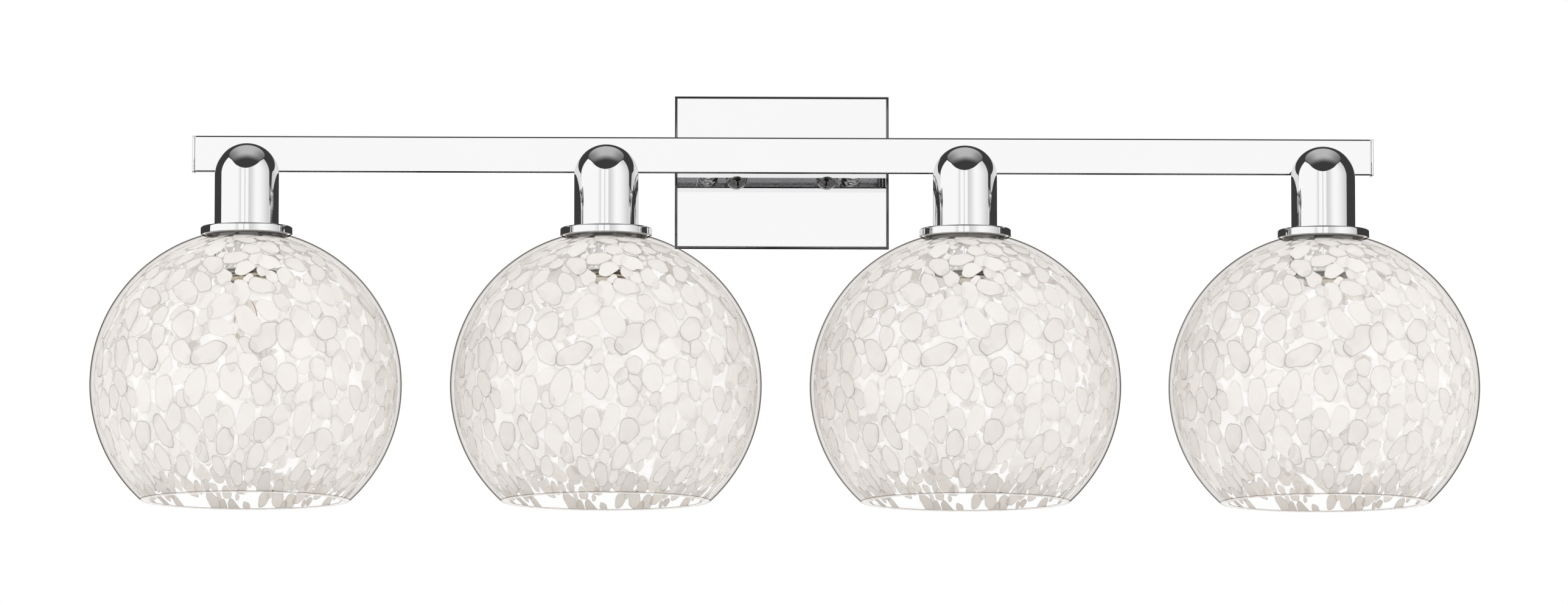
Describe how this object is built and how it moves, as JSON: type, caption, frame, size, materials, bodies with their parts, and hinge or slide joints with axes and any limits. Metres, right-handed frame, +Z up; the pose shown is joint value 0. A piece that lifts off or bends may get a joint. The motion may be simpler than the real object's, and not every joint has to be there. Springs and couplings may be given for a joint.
{
  "type": "vanity light bar",
  "caption": "Wall-mounted bar light: a square chrome bar on a rectangular backplate carries a row of domed lamp holders, each with an open flecked-glass globe and a clear tubular bulb.",
  "frame": {"origin": "centre of the backplate's back face, on the wall", "axes": "+X to the right along the bar, +Y into the wall, +Z up; the front faces -Y"},
  "size_m": [0.9066, 0.2206, 0.2791],
  "materials": {
    "chrome": "polished",
    "zinc_steel": "zinc plated",
    "brass": "plain",
    "nickel": "nickel plated",
    "phenolic": "moulded",
    "rubber": "silicone",
    "flecked_glass": "clear glass covered with cream flecks",
    "clear_glass": "clear",
    "bulb_wires": "filament and glass stem",
    "insulator": "black glass with a solder contact",
    "wire_jacket": "insulated lead",
    "connector": "moulded",
    "nylon": "plain"
  },
  "bodies": {
    "fixture": {"crossbar": "zinc_steel", "ground_screw": "brass", "mounting_studs": "zinc_steel", "stud_nuts": "zinc_steel", "backplate": "chrome", "bar": "chrome", "bar_end_caps": "chrome", "bar_standoffs": "chrome", "bar_arms": "chrome", "hollow_nipples": "zinc_steel", "nipple_nuts": "zinc_steel", "socket_contacts": "brass", "socket_brackets": "zinc_steel", "bracket_screws": "zinc_steel", "lead_wires": "wire_jacket", "wire_nuts": "connector", "socket_cover_1": "chrome", "fitter_disc_1": "chrome", "socket_body_1": "phenolic", "socket_cover_2": "chrome", "fitter_disc_2": "chrome", "socket_body_2": "phenolic", "socket_cover_3": "chrome", "fitter_disc_3": "chrome", "socket_body_3": "phenolic", "socket_cover_4": "chrome", "fitter_disc_4": "chrome", "socket_body_4": "phenolic"},
    "shade_1": {"glass_shade_1": "flecked_glass", "shade_gaskets_1": "rubber"},
    "ring_1": {"shade_ring_1": "chrome"},
    "bulb_contact_1": {"bulb_tip_1": "insulator"},
    "bulb_1": {"bulb_base_1": "nickel", "bulb_glass_1": "clear_glass", "bulb_mount_1": "bulb_wires"},
    "shade_2": {"glass_shade_2": "flecked_glass", "shade_gaskets_2": "rubber"},
    "ring_2": {"shade_ring_2": "chrome"},
    "bulb_contact_2": {"bulb_tip_2": "insulator"},
    "bulb_2": {"bulb_base_2": "nickel", "bulb_glass_2": "clear_glass", "bulb_mount_2": "bulb_wires"},
    "shade_3": {"glass_shade_3": "flecked_glass", "shade_gaskets_3": "rubber"},
    "ring_3": {"shade_ring_3": "chrome"},
    "bulb_contact_3": {"bulb_tip_3": "insulator"},
    "bulb_3": {"bulb_base_3": "nickel", "bulb_glass_3": "clear_glass", "bulb_mount_3": "bulb_wires"},
    "shade_4": {"glass_shade_4": "flecked_glass", "shade_gaskets_4": "rubber"},
    "ring_4": {"shade_ring_4": "chrome"},
    "bulb_contact_4": {"bulb_tip_4": "insulator"},
    "bulb_4": {"bulb_base_4": "nickel", "bulb_glass_4": "clear_glass", "bulb_mount_4": "bulb_wires"},
    "knob_washer_left": {"knob_washer_left": "nylon"},
    "knob_left": {"knob_left": "chrome"},
    "knob_washer_right": {"knob_washer_right": "nylon"},
    "knob_right": {"knob_right": "chrome"}
  },
  "joints": [
    {"name": "shade_1_lower", "type": "slide", "parent": "fixture", "child": "shade_1", "axis": [0, 0, -1], "range_m": [0, 0.01]},
    {"name": "ring_1_turn", "type": "hinge", "parent": "shade_1", "child": "ring_1", "pos_m": [-0.35175, -0.119, -0.0642], "axis": [0, 0, -1], "range_deg": [0, 1800]},
    {"name": "bulb_1_travel", "type": "slide", "parent": "fixture", "child": "bulb_contact_1", "axis": [0, 0, -1], "range_m": [0, 0.01089]},
    {"name": "bulb_1_turn", "type": "hinge", "parent": "bulb_contact_1", "child": "bulb_1", "pos_m": [-0.35175, -0.119, -0.0742], "axis": [0, 0, -1], "range_deg": [0, 1080]},
    {"name": "shade_2_lower", "type": "slide", "parent": "fixture", "child": "shade_2", "axis": [0, 0, -1], "range_m": [0, 0.01]},
    {"name": "ring_2_turn", "type": "hinge", "parent": "shade_2", "child": "ring_2", "pos_m": [-0.11725, -0.119, -0.0642], "axis": [0, 0, -1], "range_deg": [0, 1800]},
    {"name": "bulb_2_travel", "type": "slide", "parent": "fixture", "child": "bulb_contact_2", "axis": [0, 0, -1], "range_m": [0, 0.01089]},
    {"name": "bulb_2_turn", "type": "hinge", "parent": "bulb_contact_2", "child": "bulb_2", "pos_m": [-0.11725, -0.119, -0.0742], "axis": [0, 0, -1], "range_deg": [0, 1080]},
    {"name": "shade_3_lower", "type": "slide", "parent": "fixture", "child": "shade_3", "axis": [0, 0, -1], "range_m": [0, 0.01]},
    {"name": "ring_3_turn", "type": "hinge", "parent": "shade_3", "child": "ring_3", "pos_m": [0.11725, -0.119, -0.0642], "axis": [0, 0, -1], "range_deg": [0, 1800]},
    {"name": "bulb_3_travel", "type": "slide", "parent": "fixture", "child": "bulb_contact_3", "axis": [0, 0, -1], "range_m": [0, 0.01089]},
    {"name": "bulb_3_turn", "type": "hinge", "parent": "bulb_contact_3", "child": "bulb_3", "pos_m": [0.11725, -0.119, -0.0742], "axis": [0, 0, -1], "range_deg": [0, 1080]},
    {"name": "shade_4_lower", "type": "slide", "parent": "fixture", "child": "shade_4", "axis": [0, 0, -1], "range_m": [0, 0.01]},
    {"name": "ring_4_turn", "type": "hinge", "parent": "shade_4", "child": "ring_4", "pos_m": [0.35175, -0.119, -0.0642], "axis": [0, 0, -1], "range_deg": [0, 1800]},
    {"name": "bulb_4_travel", "type": "slide", "parent": "fixture", "child": "bulb_contact_4", "axis": [0, 0, -1], "range_m": [0, 0.01089]},
    {"name": "bulb_4_turn", "type": "hinge", "parent": "bulb_contact_4", "child": "bulb_4", "pos_m": [0.35175, -0.119, -0.0742], "axis": [0, 0, -1], "range_deg": [0, 1080]},
    {"name": "knob_left_travel", "type": "slide", "parent": "fixture", "child": "knob_washer_left", "axis": [0, -1, 0], "range_m": [0, 0.0048]},
    {"name": "knob_left_turn", "type": "hinge", "parent": "knob_washer_left", "child": "knob_left", "pos_m": [-0.03, -0.025, -0.004], "axis": [0, -1, 0], "range_deg": [0, 2160]},
    {"name": "knob_right_travel", "type": "slide", "parent": "fixture", "child": "knob_washer_right", "axis": [0, -1, 0], "range_m": [0, 0.0048]},
    {"name": "knob_right_turn", "type": "hinge", "parent": "knob_washer_right", "child": "knob_right", "pos_m": [0.03, -0.025, -0.004], "axis": [0, -1, 0], "range_deg": [0, 2160]}
  ],
  "couplings": [
    {"joint": "ring_1_turn", "follows": "shade_1_lower", "rad_per_m": 3141.6},
    {"joint": "bulb_1_travel", "follows": "bulb_1_turn", "m_per_rad": 0.00057773},
    {"joint": "ring_2_turn", "follows": "shade_2_lower", "rad_per_m": 3141.6},
    {"joint": "bulb_2_travel", "follows": "bulb_2_turn", "m_per_rad": 0.00057773},
    {"joint": "ring_3_turn", "follows": "shade_3_lower", "rad_per_m": 3141.6},
    {"joint": "bulb_3_travel", "follows": "bulb_3_turn", "m_per_rad": 0.00057773},
    {"joint": "ring_4_turn", "follows": "shade_4_lower", "rad_per_m": 3141.6},
    {"joint": "bulb_4_travel", "follows": "bulb_4_turn", "m_per_rad": 0.00057773},
    {"joint": "knob_left_travel", "follows": "knob_left_turn", "m_per_rad": 0.00012732},
    {"joint": "knob_right_travel", "follows": "knob_right_turn", "m_per_rad": 0.00012732}
  ]
}
